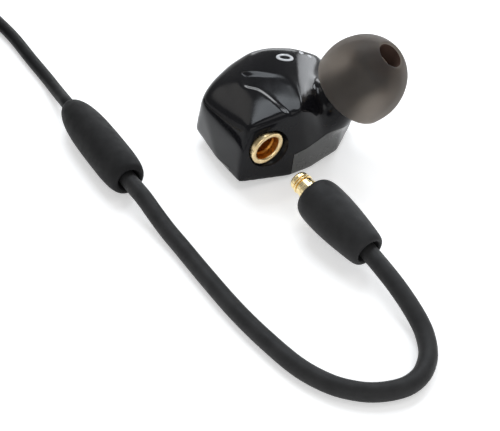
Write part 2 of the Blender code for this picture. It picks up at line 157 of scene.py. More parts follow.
def ramp(nodes_, links, value, stops):
    r = nodes_.new("ShaderNodeValToRGB")
    els = r.color_ramp.elements
    while len(els) < len(stops):
        els.new(0.5)
    for el, (pos, col) in zip(els, stops):
        el.position = pos
        el.color = (*col, 1.0) if len(col) == 3 else col
    links.new(value, r.inputs["Fac"])
    return r.outputs["Color"]


def remap(nodes_, links, value, lo, hi, a=0.3, b=0.7):
    m = nodes_.new("ShaderNodeMapRange")
    m.inputs["From Min"].default_value = a
    m.inputs["From Max"].default_value = b
    m.inputs["To Min"].default_value = lo
    m.inputs["To Max"].default_value = hi
    links.new(value, m.inputs["Value"])
    return m.outputs["Result"]


def bump(nodes_, links, height, strength, distance, before=None):
    b = nodes_.new("ShaderNodeBump")
    b.inputs["Strength"].default_value = strength
    b.inputs["Distance"].default_value = distance
    links.new(height, b.inputs["Height"])
    if before is not None:
        links.new(before, b.inputs["Normal"])
    return b.outputs["Normal"]


def gloss_black(name, dark, light, rough, coat, peel=0.10, spec=0.5):
    """Moulded and lacquered plastic: near-black, faint orange peel, faint smears in the gloss."""
    made, n, l, s = new_material(name)
    coords = n.new("ShaderNodeTexCoord").outputs["Object"]
    tone = noise(n, l, coords, 160.0, 4.0)
    l.new(ramp(n, l, tone, [(0.3, dark), (0.7, light)]), s.inputs["Base Color"])
    smear = noise(n, l, coords, 420.0, 5.0, 0.6, (1.0, 0.35, 1.0))
    l.new(remap(n, l, smear, rough * 0.75, rough * 1.6), s.inputs["Roughness"])
    s.inputs["Specular IOR Level"].default_value = spec
    s.inputs["Coat Weight"].default_value = coat
    s.inputs["Coat Roughness"].default_value = 0.03
    peel_n = bump(n, l, noise(n, l, coords, 900.0, 2.0, 0.4), peel, 0.00003)
    dust = bump(n, l, noise(n, l, coords, 9000.0, 3.0, 0.6), peel * 0.3, 0.00001, peel_n)
    l.new(dust, s.inputs["Normal"])
    return made


def rubber(name, dark, light, rough, grain=0.25, scale=7000.0, spec=0.4):
    """Moulded rubber or cable jacket: matt, with a fine grain and worn lighter patches."""
    made, n, l, s = new_material(name)
    coords = n.new("ShaderNodeTexCoord").outputs["Object"]
    tone = noise(n, l, coords, 350.0, 5.0, 0.6)
    l.new(ramp(n, l, tone, [(0.32, dark), (0.72, light)]), s.inputs["Base Color"])
    worn = noise(n, l, coords, 900.0, 4.0, 0.6)
    l.new(remap(n, l, worn, rough * 0.85, rough * 1.15), s.inputs["Roughness"])
    s.inputs["Specular IOR Level"].default_value = spec
    coarse = bump(n, l, noise(n, l, coords, scale * 0.22, 3.0, 0.5), grain * 0.6, 0.00004)
    l.new(bump(n, l, noise(n, l, coords, scale, 4.0, 0.6), grain, 0.000015, coarse), s.inputs["Normal"])
    return made


def metal(name, colour, tint, rough, stretch=(1.0, 1.0, 9.0), scale=1500.0, strength=0.12):
    """Turned and plated metal: fine tool marks round the axis, tarnish in patches."""
    made, n, l, s = new_material(name)
    coords = n.new("ShaderNodeTexCoord").outputs["Object"]
    patch = noise(n, l, coords, 700.0, 4.0, 0.6)
    l.new(ramp(n, l, patch, [(0.3, tint), (0.65, colour)]), s.inputs["Base Color"])
    s.inputs["Metallic"].default_value = 1.0
    mark = noise(n, l, coords, scale, 4.0, 0.6, stretch)
    l.new(remap(n, l, mark, rough * 0.7, rough * 1.4), s.inputs["Roughness"])
    l.new(bump(n, l, mark, strength, 0.00002), s.inputs["Normal"])
    return made


def plain(name, dark, light, rough, metallic=0.0, scale=1200.0, grain=0.15):
    made, n, l, s = new_material(name)
    coords = n.new("ShaderNodeTexCoord").outputs["Object"]
    v = noise(n, l, coords, scale, 4.0, 0.6)
    l.new(ramp(n, l, v, [(0.3, dark), (0.7, light)]), s.inputs["Base Color"])
    s.inputs["Metallic"].default_value = metallic
    l.new(remap(n, l, v, rough * 0.85, rough * 1.2), s.inputs["Roughness"])
    l.new(bump(n, l, noise(n, l, coords, scale * 5, 3.0, 0.6), grain, 0.00002), s.inputs["Normal"])
    return made


def silicone(name):
    """Smoky see-through silicone: part of the light goes straight through each wall."""
    made, n, l, s = new_material(name)
    coords = n.new("ShaderNodeTexCoord").outputs["Object"]
    tone = noise(n, l, coords, 260.0, 3.0)
    l.new(ramp(n, l, tone, [(0.3, (0.052, 0.050, 0.050)), (0.7, (0.074, 0.070, 0.068))]), s.inputs["Base Color"])
    haze = noise(n, l, coords, 500.0, 4.0)
    l.new(remap(n, l, haze, 0.38, 0.52), s.inputs["Roughness"])
    s.inputs["Specular IOR Level"].default_value = 0.35
    s.inputs["Sheen Weight"].default_value = 0.12
    s.inputs["Sheen Roughness"].default_value = 0.5
    l.new(bump(n, l, noise(n, l, coords, 3000.0, 3.0), 0.05, 0.00002), s.inputs["Normal"])
    milky = n.new("ShaderNodeBsdfTranslucent")
    milky.inputs["Color"].default_value = (0.42, 0.385, 0.35, 1.0)
    body_mix = n.new("ShaderNodeMixShader")
    body_mix.inputs["Fac"].default_value = 0.34
    blurred = n.new("ShaderNodeBsdfRefraction")
    blurred.inputs["Color"].default_value = (0.92, 0.85, 0.78, 1.0)
    blurred.inputs["IOR"].default_value = 1.30
    blurred.inputs["Roughness"].default_value = 0.50
    clear = n.new("ShaderNodeBsdfTransparent")
    clear.inputs["Color"].default_value = (0.76, 0.70, 0.64, 1.0)
    seen = n.new("ShaderNodeMixShader")
    seen.inputs["Fac"].default_value = 0.66
    mix = n.new("ShaderNodeMixShader")
    mix.inputs["Fac"].default_value = 0.56
    out = n["Material Output"]
    l.new(s.outputs["BSDF"], body_mix.inputs[1])
    l.new(milky.outputs["BSDF"], body_mix.inputs[2])
    l.new(clear.outputs["BSDF"], seen.inputs[1])
    l.new(blurred.outputs["BSDF"], seen.inputs[2])
    l.new(seen.outputs["Shader"], mix.inputs[1])
    l.new(body_mix.outputs["Shader"], mix.inputs[2])
    l.new(mix.outputs["Shader"], out.inputs["Surface"])
    return made


SHELL = gloss_black("shell_lacquer", (0.0045, 0.0045, 0.0055), (0.0075, 0.0075, 0.009), 0.12, 0.0, 0.08, 0.16)
# the cover's base colour is a lighter grey than the shell's black: painted reflection of the pale floor along the band
COVER_REFLECTED_GREY = gloss_black("cover_lacquer_painted_reflection", (0.030, 0.031, 0.030), (0.044, 0.045, 0.043), 0.22, 0.0, 0.05, 0.6)
NOZZLE = gloss_black("nozzle_plastic", (0.008, 0.008, 0.009), (0.012, 0.012, 0.013), 0.22, 0.0, 0.10, 0.4)
GRIP = rubber("grip_rubber", (0.022, 0.022, 0.0225), (0.032, 0.032, 0.033), 0.52, 0.22, 7000.0, 0.11)
JUNCTION = rubber("junction_rubber", (0.014, 0.014, 0.0145), (0.022, 0.022, 0.0225), 0.58, 0.25, 7000.0, 0.08)
LOOP_MAT = rubber("loop_jacket", (0.020, 0.020, 0.0205), (0.031, 0.031, 0.0315), 0.54, 0.25, 5000.0, 0.15)
LEAD_MAT = rubber("lead_jacket", (0.007, 0.007, 0.0075), (0.013, 0.013, 0.0135), 0.54, 0.22, 6000.0, 0.12)
TIE_MAT = rubber("tie_fabric", (0.016, 0.016, 0.016), (0.032, 0.032, 0.033), 0.85, 0.9, 4000.0, 0.2)
MINI_MAT = rubber("mini_rubber", (0.014, 0.014, 0.015), (0.022, 0.022, 0.024), 0.38, 0.18)
BAND = plain("band_plastic", (0.010, 0.010, 0.010), (0.018, 0.018, 0.018), 0.4)
GOLD = metal("gold_plating", (1.0, 0.84, 0.50), (0.96, 0.75, 0.38), 0.25)
# the socket's bore gets a darker, browner gold than the ring: painted shade inside the recess
SOCKET_BORE_SHADE = metal("bore_plating_painted_shade", (0.74, 0.38, 0.085), (0.36, 0.15, 0.03), 0.34)
RING_GOLD = metal("ring_plating", (0.86, 0.70, 0.42), (0.64, 0.45, 0.21), 0.26)
CONTACT = metal("contact_plating", (0.90, 0.66, 0.30), (0.78, 0.52, 0.20), 0.28)
# the insulator's colour is darkened to amber: painted shade deep in the socket
INSULATOR_SHADE = plain("insulator_painted_shade", (0.26, 0.11, 0.02), (0.46, 0.22, 0.045), 0.45)
CREAM = plain("insulator_cream", (0.72, 0.68, 0.58), (0.80, 0.77, 0.68), 0.45)
STEEL = metal("driver_can", (0.62, 0.62, 0.64), (0.50, 0.50, 0.53), 0.30, (6.0, 1.0, 1.0))
SCREEN = metal("screen_wire", (0.40, 0.20, 0.13), (0.26, 0.11, 0.07), 0.42, (1.0, 1.0, 1.0), 3000.0)
DAMPER = plain("damper_foam", (0.03, 0.14, 0.08), (0.08, 0.26, 0.16), 0.8, 0.0, 4000.0, 0.9)
BOARD = plain("board_mask", (0.012, 0.10, 0.045), (0.03, 0.16, 0.08), 0.35)
CAP = plain("capacitor_body", (0.36, 0.24, 0.11), (0.50, 0.35, 0.18), 0.45)
CLEAR = plain("sound_tube_plastic", (0.50, 0.50, 0.49), (0.62, 0.62, 0.60), 0.25)
RED = plain("wire_red_enamel", (0.36, 0.02, 0.02), (0.50, 0.04, 0.03), 0.3)
BLUE = plain("wire_blue_enamel", (0.02, 0.07, 0.36), (0.04, 0.12, 0.50), 0.3)
MARK = plain("mark_print", (0.42, 0.43, 0.45), (0.58, 0.59, 0.61), 0.4)
TIP = silicone("tip_silicone_smoky")
# the tip's bore is an opaque dark brown: painted shade inside the hole
TIP_HOLE_SHADE = rubber("tip_core_painted_shade", (0.060, 0.036, 0.028), (0.095, 0.060, 0.048), 0.55, 0.12, 4000.0, 0.15)


# ================================================================ mesh helpers
def mesh_object(name, verts, faces, mat, body, replaced=(), sharp=None, matrix=None):
    """A mesh in metres, welded, with outward normals, riding on its body."""
    mesh = bpy.data.meshes.new(name)
    mesh.from_pydata([tuple(v) for v in verts], [], faces)
    bm = bmesh.new()
    bm.from_mesh(mesh)
    bmesh.ops.remove_doubles(bm, verts=bm.verts, dist=1e-7)
    bmesh.ops.recalc_face_normals(bm, faces=bm.faces)
    if matrix is not None:
        bm.transform(matrix)
    bm.to_mesh(mesh)
    bm.free()
    mesh.shade_smooth()
    if sharp:
        mesh.set_sharp_from_angle(angle=math.radians(sharp))
    obj = bpy.data.objects.new(name, mesh)
    scene.collection.objects.link(obj)
    if mat is not None:
        mesh.materials.append(mat)
    if body:
        finish_piece(obj, body, replaced)
    return obj


def finish_piece(obj, body, replaced=()):
    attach(obj, body)
    if replaced:
        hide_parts(*replaced)
    return obj


def fillet(profile, radius, steps=4, closed=True):
    """The corners of a (radius, height) outline rounded; a point may carry its own size."""
    pts = [(p[0], p[1], p[2] if len(p) > 2 else radius) for p in profile]
    out = []
    count = len(pts)
    for k, (x, y, rad) in enumerate(pts):
        if not closed and k in (0, count - 1):
            out.append((x, y))
            continue
        a, b = pts[k - 1], pts[(k + 1) % count]
        v, va, vb = Vector((x, y)), Vector(a[:2]), Vector(b[:2])
        la, lb = (va - v).length, (vb - v).length
        if rad <= 0 or la < 1e-6 or lb < 1e-6 or x < 1e-6:
            out.append((x, y))
            continue
        ta, tb = min(rad, la * 0.45), min(rad, lb * 0.45)
        pa, pb = v + (va - v) * (ta / la), v + (vb - v) * (tb / lb)
        for s in range(steps + 1):
            t = s / steps
            q = pa * (1 - t) ** 2 + v * 2 * t * (1 - t) + pb * t * t
            out.append((max(0.0, q.x), q.y))
    return out


def turned(name, profile, mat, body, replaced, matrix, radius=0.08, steps=96, shape=None, sharp=None):
    """A solid of revolution with rounded corners. shape(angle, radius, height) may vary the radius."""
    outline = fillet(profile, radius)
    verts, faces, rows = [], [], []
    for r, h in outline:
        if r < 1e-9:
            rows.append([len(verts)] * steps)
            verts.append((0.0, 0.0, h * mm))
        else:
            rows.append(list(range(len(verts), len(verts) + steps)))
            for k in range(steps):
                a = 2 * math.pi * k / steps
                rr = shape(a, r, h) if shape else r
                verts.append((rr * math.cos(a) * mm, rr * math.sin(a) * mm, h * mm))
    for a, b in zip(rows, rows[1:] + rows[:1]):
        if a[0] == a[1] and b[0] == b[1]:
            continue
        for k in range(steps):
            n = (k + 1) % steps
            ring = [a[k], a[n], b[n], b[k]]
            ring = [v for i, v in enumerate(ring) if v not in ring[:i]]
            if len(ring) > 2:
                faces.append(ring)
    return mesh_object(name, verts, faces, mat, body, replaced, sharp, matrix)


def joined(name, parts_, mat, body, replaced=()):
    verts, faces = [], []
    for v, f in parts_:
        base = len(verts)
        verts += v
        faces += [[i + base for i in face] for face in f]
    return mesh_object(name, verts, faces, mat, body, replaced)


def sweep(path, radius, sides=8, closed_ends=True):
    """(verts, faces) of a tube along points in metres."""
    verts, faces = [], []
    up = Vector((0, 0, 1))
    count = len(path)
    for k, p in enumerate(path):
        d = (path[min(k + 1, count - 1)] - path[max(k - 1, 0)]).normalized()
        if abs(d.dot(up)) > 0.95:
            up = Vector((1, 0, 0))
        x = (up - d * up.dot(d)).normalized()
        y = d.cross(x)
        up = x
        for s in range(sides):
            a = 2 * math.pi * s / sides
            verts.append(p + (x * math.cos(a) + y * math.sin(a)) * radius)
    for k in range(count - 1):
        for s in range(sides):
            n = (s + 1) % sides
            faces.append([k * sides + s, k * sides + n, (k + 1) * sides + n, (k + 1) * sides + s])
    if closed_ends:
        faces.append(list(range(sides))[::-1])
        faces.append([(count - 1) * sides + s for s in range(sides)])
    return verts, faces


def cable(name, path, radius, mat, body, replaced):
    data = bpy.data.curves.new(name, "CURVE")
    data.dimensions = "3D"
    data.bevel_depth = radius * mm
    data.bevel_resolution = 5
    data.use_fill_caps = True
    data.materials.append(mat)
    spline = data.splines.new("POLY")
    spline.points.add(len(path) - 1)
    for point, p in zip(spline.points, path):
        point.co = (*at(p), 1.0)
    spline.use_smooth = True
    obj = bpy.data.objects.new(name, data)
    scene.collection.objects.link(obj)
    return finish_piece(obj, body, replaced)


# ================================================================ cords
LOOP = [
    SOCKET + AXIS * 20.6, SOCKET + AXIS * 22.4, (15.75, -22.7, 3.15), (17.75, -26.5, 2.35), (18.95, -29.3, 1.6),
    (19.35, -31.6, 1.25), (19.2, -34.0, 1.25), (18.3, -36.4, 1.25), (16.9, -38.0, 1.25), (15.2, -38.9, 1.25),
    (12.7, -39.4, 1.25), (10.1, -39.2, 1.25), (7.0, -38.1, 1.25), (3.4, -35.5, 1.25), (-0.5, -31.1, 1.25),
    (-4.2, -26.2, 1.25), (-7.9, -20.5, 1.25), (-11.6, -14.5, 1.25), (-13.55, -11.6, 1.5), (-15.45, -8.7, 2.05),
    (-17.1, -6.2, 2.7), JUNC_B + JUNC_DIR * 0.9, JUNC_B - JUNC_DIR * 1.6,
]
loop_path = spaced(catmull(LOOP, 16), 0.7)
loop = cable("ear_loop", loop_path, LOOP_R, LOOP_MAT, "lead", ["ear_loop_cable"])

PHI = math.radians(35)
TURN_R = [16.05, 14.0, 11.95, 9.9, 7.9]
PER_COLUMN, PITCH, LOW = 2.944, 2.05, 1.62
LEAD_IN = [
    JUNC_A + JUNC_DIR * 1.1, JUNC_A - JUNC_DIR * 0.9, (-31.15, 17.5, 2.35), (-32.9, 21.2, 1.5), (-34.65, 24.6, 1.05),
    (-37.95, 30.0, 1.02), (-41.4, 35.8, 1.02), (-44.3, 40.0, 1.02), (-47.6, 44.2, 1.1),
]


def coil_point(turns):
    """The point of the wound lead after that many turns."""
    column = min(int(turns / PER_COLUMN), 4)
    into = turns - column * PER_COLUMN
    radius = TURN_R[column]
    if column < 4:
        left = PER_COLUMN - into
        if left < 0.22:
            t = 1 - left / 0.22
            t = t * t * (3 - 2 * t)
            radius += (TURN_R[column + 1] - radius) * t
    rise = into if column % 2 == 0 else PER_COLUMN - into
    z = LOW + PITCH * rise
    if column == 4 and into > PER_COLUMN - 0.55:
        t = (into - PER_COLUMN + 0.55) / 0.55
        z += 1.55 * t * t * (3 - 2 * t)
    a = PHI + 2 * math.pi * turns
    return COIL + Vector((radius * math.cos(a), radius * math.sin(a), z))


turns_all = PER_COLUMN * 5
wound = [coil_point(turns_all * k / 420) for k in range(421)]


def ring_point(angle, radius, z):
    a = math.radians(angle)
    return COIL + Vector((radius * math.cos(a), radius * math.sin(a), z))


TAIL_Z = 10.3
TAIL = [ring_point(-18, 8.1, 9.75), ring_point(4, 8.7, TAIL_Z), ring_point(30, 9.6, TAIL_Z), ring_point(65, 11.6, TAIL_Z),
        ring_point(100, 14.8, TAIL_Z), ring_point(125, 18.4, TAIL_Z - 0.6), ring_point(143, 21.8, 7.4),
        MINI - BODY_DIR * 5.2 + Vector((0.0, 0.0, 1.4)), MINI - BODY_DIR * 1.6, MINI + BODY_DIR * 1.4]
lead_control = LEAD_IN + wound[2::5] + TAIL
lead_path = spaced(catmull(lead_control, 5), 1.0)
lead = cable("lead", lead_path, LEAD_R, LEAD_MAT, "lead", ["lead_cable", "lead_coil", "lead_tail"])
print("loop mm", round(length_of(loop_path), 1), "lead mm", round(length_of(lead_path), 1))

# ================================================================ connector pieces
socket_frame = along(SOCKET, AXIS)
plug_frame = along(SOCKET, -AXIS)
nozzle_frame = along(TIP_BASE, TIP_DIR)
junction_frame = along(JUNC_A, JUNC_DIR)
mini_frame = along(MINI, BODY_DIR)


def on_axis(profile):
    return [(p[0], -p[1], *p[2:]) for p in profile]


turned("socket_flange", [
    (1.62, -5.2), (2.28, -5.2), (2.28, -0.75), (2.70, -0.75, 0.05), (2.70, 0.10, 0.16), (2.52, 0.27, 0.12),
    (2.14, 0.27, 0.10), (1.92, 0.05, 0.10), (1.80, -0.9, 0.1), (1.62, -1.2, 0.1),
], RING_GOLD, "earpiece", ["socket_ring"], socket_frame, 0.06, 128)
flange = bpy.data.objects["socket_flange"]
# faces deep in the bore take the darker gold, painted shade in the socket's recess
flange.data.materials.append(SOCKET_BORE_SHADE)
to_socket = socket_frame.inverted()
for poly in flange.data.polygons:
    local = to_socket @ poly.center / mm
    if local.z < -0.25 and math.hypot(local.x, local.y) < 2.0:
        poly.material_index = 1
# the insert deep in the socket carries the amber of painted shade
turned("socket_insert", [
    (0.42, -5.1), (1.56, -5.1), (1.56, -3.1), (1.15, -2.95, 0.1), (0.95, -3.4), (0.42, -3.4),
], INSULATOR_SHADE, "earpiece", ["socket_insulator"], socket_frame, 0.06, 72)


def fork(a, r, h):
    return r


turned("socket_pin", [
    (0.0, -6.2), (0.36, -6.2), (0.36, -1.85, 0.08), (0.27, -1.75, 0.05), (0.27, -4.2), (0.0, -4.2),
], CONTACT, "earpiece", ["socket_contact"], socket_frame, 0.03, 40)

turned("plug_barrel", on_axis([
    (0.98, 7.1, 0.05), (1.22, 7.0, 0.12), (1.42, 7.32, 0.2), (1.42, 7.85, 0.05), (1.22, 7.95, 0.04), (1.22, 8.45, 0.04),
    (1.42, 8.55, 0.05), (1.42, 9.2, 0.06), (1.52, 9.3, 0.06), (1.52, 9.9, 0.05), (1.46, 9.97, 0.03), (1.46, 10.1, 0.03),
    (1.52, 10.17, 0.03), (1.52, 12.2), (0.98, 12.2),
]), GOLD, "lead", ["plug_sleeve"], plug_frame, 0.05, 96)
turned("plug_core", on_axis([
    (0.30, 8.0), (0.92, 8.0, 0.12), (0.92, 11.8), (0.30, 11.8),
]), CREAM, "lead", ["plug_insulator"], plug_frame, 0.05, 64)
turned("plug_centre_pin", on_axis([
    (0.0, 7.22), (0.10, 7.25, 0.05), (0.22, 7.55, 0.1), (0.22, 12.0), (0.0, 12.0),
]), CONTACT, "lead", ["plug_pin"], plug_frame, 0.03, 32)

# split snap ring: an open ring swept round the groove
ring_path = []
for k in range(61):
    a = math.radians(104 + (360 - 28) * k / 60)
    ring_path.append(plug_frame @ Vector((1.405 * mm * math.cos(a), 1.405 * mm * math.sin(a), -8.2 * mm)))
snap = joined("snap_clip", [sweep(ring_path, 0.135 * mm, 12)], GOLD, "swivel_ring", ["snap_ring"])

turned("plug_handle", on_axis([
    (1.60, 10.35, 0.05), (2.30, 10.35, 0.12), (2.50, 10.42, 0.1), (2.74, 10.58, 0.15), (3.02, 11.02, 0.3), (3.22, 11.8, 0.5),
    (3.30, 13.0, 0.6), (3.30, 14.6, 0.8), (3.18, 16.8, 1.0), (2.98, 18.8, 1.0), (2.72, 20.9, 0.6), (2.55, 21.9, 0.4),
    (2.32, 22.36, 0.2), (1.95, 22.5, 0.15), (1.74, 22.35, 0.12), (1.66, 21.4, 0.2), (1.30, 20.8, 0.1), (1.30, 20.3, 0.02),
    (0.0, 20.3), (0.0, 12.4), (1.60, 12.4, 0.02),
]), GRIP, "lead", ["plug_grip"], plug_frame, 0.1, 128)

jl = (JUNC_B - JUNC_A).length
turned("junction_barrel", [
    (1.06, 0.0, 0.02), (1.35, 0.12, 0.15), (1.88, 1.0, 0.5), (2.36, 2.4, 0.8), (2.72, 4.4, 1.0), (2.95, 7.0, 1.2),
    (3.03, 10.5, 1.5), (3.03, 15.0, 1.5), (2.98, jl - 3.4, 1.0), (2.82, jl - 1.6, 0.7), (2.50, jl - 0.45, 0.4),
    (2.0, jl, 0.2), (1.66, jl - 0.2, 0.15), (1.48, jl - 1.2, 0.2), (1.30, jl - 1.9, 0.02), (0.0, jl - 1.9), (0.0, 1.4),
    (1.06, 1.4, 0.02),
], JUNCTION, "lead", ["junction_sleeve"], junction_frame, 0.1, 128)

# ================================================================ ear tip and nozzle
CORE_IN = 2.35
turned("tip_dome", [
    (CORE_IN, -0.6, 0.12), (3.05, -0.6, 0.15), (3.02, 5.3, 0.6), (3.35, 6.25, 0.5), (4.15, 6.15, 0.6), (4.9, 5.0, 0.8),
    (5.38, 3.2, 1.0), (5.62, 1.4, 1.0), (5.68, 0.0, 0.1), (5.86, -0.04, 0.1), (6.02, 0.02, 0.1), (6.2, 1.2, 0.8), (6.25, 2.5, 1.0),
    (6.06, 3.8, 1.0), (5.55, 5.3, 1.2), (4.8, 6.6, 1.2), (3.9, 7.6, 1.2), (2.9, 8.35, 0.8), (2.28, 8.72, 0.3),
    (2.0, 8.72, 0.15), (1.86, 8.5, 0.12), (1.85, 6.1, 0.1), (CORE_IN, 5.8, 0.1),
], TIP, "tip", ["ear_tip"], nozzle_frame, 0.1, 160)
dome = bpy.data.objects["tip_dome"]
# faces inside the tip's bore take the dark brown, painted shade in the hole
dome.data.materials.append(TIP_HOLE_SHADE)
to_tip = nozzle_frame.inverted()
for poly in dome.data.polygons:
    local = to_tip @ poly.center / mm
    if math.hypot(local.x, local.y) < 1.88 and local.z > 5.9:
        poly.material_index = 1
turned("nozzle_pipe", [
    (1.55, -6.8), (2.25, -6.8), (2.25, 5.2, 0.1), (2.05, 5.6, 0.12), (1.62, 5.6, 0.06), (1.55, 5.45, 0.05),
], NOZZLE, "earpiece", ["nozzle_tube"], nozzle_frame, 0.05, 96)

wires = []
SPAN, GAP = 1.47, 0.235
for k in range(-6, 7):
    off = k * GAP
    half = math.sqrt(max(0.0, SPAN ** 2 - off ** 2))
    if half < 0.2:
        continue
    for way in (0, 1):
        path = []
        for s in range(41):
            u = -half + 2 * half * s / 40
            lift = 0.055 * math.cos(math.pi * u / GAP) * (1 if (k + way) % 2 else -1)
            p = (u, off, 5.15 + lift) if way == 0 else (off, u, 5.15 + lift)
            path.append(nozzle_frame @ (Vector(p) * mm))
        wires.append(sweep(path, 0.05 * mm, 6))
joined("nozzle_mesh", wires, SCREEN, "earpiece", ["nozzle_screen"])

# ================================================================ 3.5 mm plug
turned("mini_strain_boot", [
    (1.08, 0.0), (1.5, 0.0, 0.1), (1.75, 0.3, 0.1),
    (1.78, 1.0, 0.08), (1.62, 1.1, 0.05), (1.66, 1.7, 0.05), (1.95, 1.8, 0.08),
    (2.02, 2.6, 0.08), (1.82, 2.7, 0.05), (1.88, 3.3, 0.05), (2.16, 3.4, 0.08),
    (2.22, 4.2, 0.08), (2.0, 4.3, 0.05), (2.06, 4.9, 0.05), (2.34, 5.0, 0.08),
    (2.45, 7.6, 0.1), (2.45, 8.0, 0.1), (0.0, 8.0), (0.0, 1.8), (1.08, 1.8),
], GRIP, "lead", ["mini_boot"], mini_frame, 0.06, 72)


def ribbed(a, r, h):
    """Shallow grip ribs on the middle of the plug's body."""
    if 12.0 < h < 22.5 and r > 3.5:
        return r - 0.09 * max(0.0, math.cos(24 * a)) ** 2
    return r


turned("mini_body", [
    (0.0, 8.25), (2.9, 8.25, 0.2), (3.45, 8.9, 0.4), (3.70, 10.5, 0.5), (3.70, 11.9, 0.02), (3.70, 12.1, 0.02), (3.70, 22.4, 0.02),
    (3.70, 22.6, 0.02), (3.70, 24.2, 0.4), (3.45, 25.0, 0.3), (2.6, 25.3, 0.1), (0.0, 25.3),
], MINI_MAT, "lead", ["mini_grip"], mini_frame, 0.1, 144, ribbed)
for name, node, profile, mat, slot in [
    ("mini_ferrule", "mini_collar", [(0.0, 25.55), (2.55, 25.55, 0.12), (2.55, 26.5, 0.12), (0.0, 26.5)], GOLD, "mini_metal"),
    ("mini_sleeve", "mini_sleeve_contact", [(0.0, 26.7), (1.75, 26.7, 0.05), (1.75, 32.2, 0.05), (0.0, 32.2)], GOLD, "gold_ring"),
    ("mini_rear_band", "mini_band_rear", [(0.0, 32.35), (1.72, 32.35, 0.03), (1.72, 33.0, 0.03), (0.0, 33.0)], BAND, "band_black"),
    ("mini_ring", "mini_ring_contact", [(0.0, 33.15), (1.75, 33.15, 0.05), (1.75, 35.0, 0.05), (0.0, 35.0)], GOLD, "gold_ring"),
    ("mini_front_band", "mini_band_front", [(0.0, 35.15), (1.72, 35.15, 0.03), (1.72, 35.75, 0.03), (0.0, 35.75)], BAND, "band_black"),
    ("mini_tip", "mini_tip_contact", [(0.0, 35.9), (1.75, 35.9, 0.05), (1.75, 36.6, 0.15), (1.25, 37.3, 0.15), (1.25, 37.6, 0.12),
                                      (1.72, 38.4, 0.2), (1.45, 39.3, 0.4), (0.5, 40.3, 0.25), (0.0, 40.4)], GOLD, "gold_ring"),
]:
    turned(name, profile, mat, "lead", [node], mini_frame, 0.05, 80)

# ================================================================ coil tie
TIE_W, TIE_T = 4.5, 0.4
wide, high = 11.1, 8.9
tie_matrix = (Matrix.Translation(at(ring_point(215, 11.9, TIE_T + high / 2))) @ Matrix.Rotation(math.radians(215), 4, "Z"))


def band_outline(w, h, corner, per=7):
    out = []
    for cx, cy, start in ((w / 2 - corner, h / 2 - corner, 0), (-w / 2 + corner, h / 2 - corner, 90),
                          (-w / 2 + corner, -h / 2 + corner, 180), (w / 2 - corner, -h / 2 + corner, 270)):
        for k in range(per + 1):
            a = math.radians(start + 90 * k / per)
            out.append((cx + corner * math.cos(a), cy + corner * math.sin(a)))
    return out


inner = band_outline(wide, high, 1.0)
outer = band_outline(wide + 2 * TIE_T, high + 2 * TIE_T, 1.35)
verts, faces = [], []
ACROSS = [(-TIE_W / 2, 0.72), (-TIE_W / 2 + 0.12, 1.0), (-0.9, 0.96), (0.0, 1.0), (0.9, 0.96), (TIE_W / 2 - 0.12, 1.0), (TIE_W / 2, 0.72)]
rows = []
for y, share in ACROSS:
    rows.append([len(verts) + k for k in range(len(outer))])
    for (ix, iz), (ox, oz) in zip(inner, outer):
        verts.append(tie_matrix @ Vector(((ix + (ox - ix) * share) * mm, y * mm, (iz + (oz - iz) * share) * mm)))
for y in (TIE_W / 2, -TIE_W / 2):
    rows.append([len(verts) + k for k in range(len(inner))])
    for ix, iz in inner:
        verts.append(tie_matrix @ Vector((ix * mm, y * mm, iz * mm)))
for a, b in zip(rows, rows[1:] + rows[:1]):
    for k in range(len(a)):
        n = (k + 1) % len(a)
        faces.append([a[k], a[n], b[n], b[k]])
mesh_object("coil_strap", verts, faces, TIE_MAT, "lead", ["coil_tie"], 50)

# ================================================================ earpiece shell
PAD = [(-6.0, 9.2), (-1.8, 2.8), (3.6, 3.4), (6.2, 4.8), (9.4, 8.2), (10.6, 12.6),
       (9.2, 16.2), (4.6, 17.6), (-1.6, 17.4), (-5.6, 14.6)]
RIM = [(-10.6, 10.0, 2.2), (-7.2, 3.1, 1.9), (-4.0, -1.8, 1.7), (3.2, 1.2, 0.45), (6.3, 3.0, 0.5),
       (10.4, 6.8, 0.6), (12.8, 12.4, 1.3), (11.4, 16.6, 1.6), (6.6, 18.9, 1.8),
       (-1.2, 19.0, 2.2), (-7.0, 16.6, 2.4)]
SHOULDER = [(-9.6, 8.4, 9.0), (-6.5, 3.9, 8.8), (-4.2, -0.3, 8.0), (-3.3, -1.6, 7.5),
            (-2.45, -0.8, 10.7), (1.5, 0.7, 10.9), (3.0, 1.4, 11.2), (4.6, 2.2, 11.7),
            (11.4, 8.9, 4.6), (12.6, 12.8, 4.6), (11.2, 16.4, 5.2), (8.0, 18.9, 9.8),
            (-8.8, 10.4, 9.7), (-7.9, 12.2, 9.9), (-5.6, 15.2, 10.4)]
CROWN = [(-2.4, 17.2, 11.6), (0.0, 17.8, 11.9), (4.0, 17.9, 11.7), (-3.6, 9.5, 11.7),
         (2.4, 10.4, 12.2), (4.8, 4.2, 12.0), (2.2, 14.6, 12.1), (-2.2, 13.6, 12.0),
         (6.2, 14.4, 10.9), (-1.7, 6.0, 11.85), (0.1, 4.4, 11.95), (1.9, 2.9, 11.8)]
SEAM_Z, SEAM_KX, SEAM_KY = 3.55, 0.165, -0.02
MIDDLE = (0.8, 9.0, 6.1)
corners = [(x, y, 0.0) for x, y in PAD] + RIM + SHOULDER + CROWN

helpers = bpy.data.collections.new("helpers")
scene.collection.children.link(helpers)


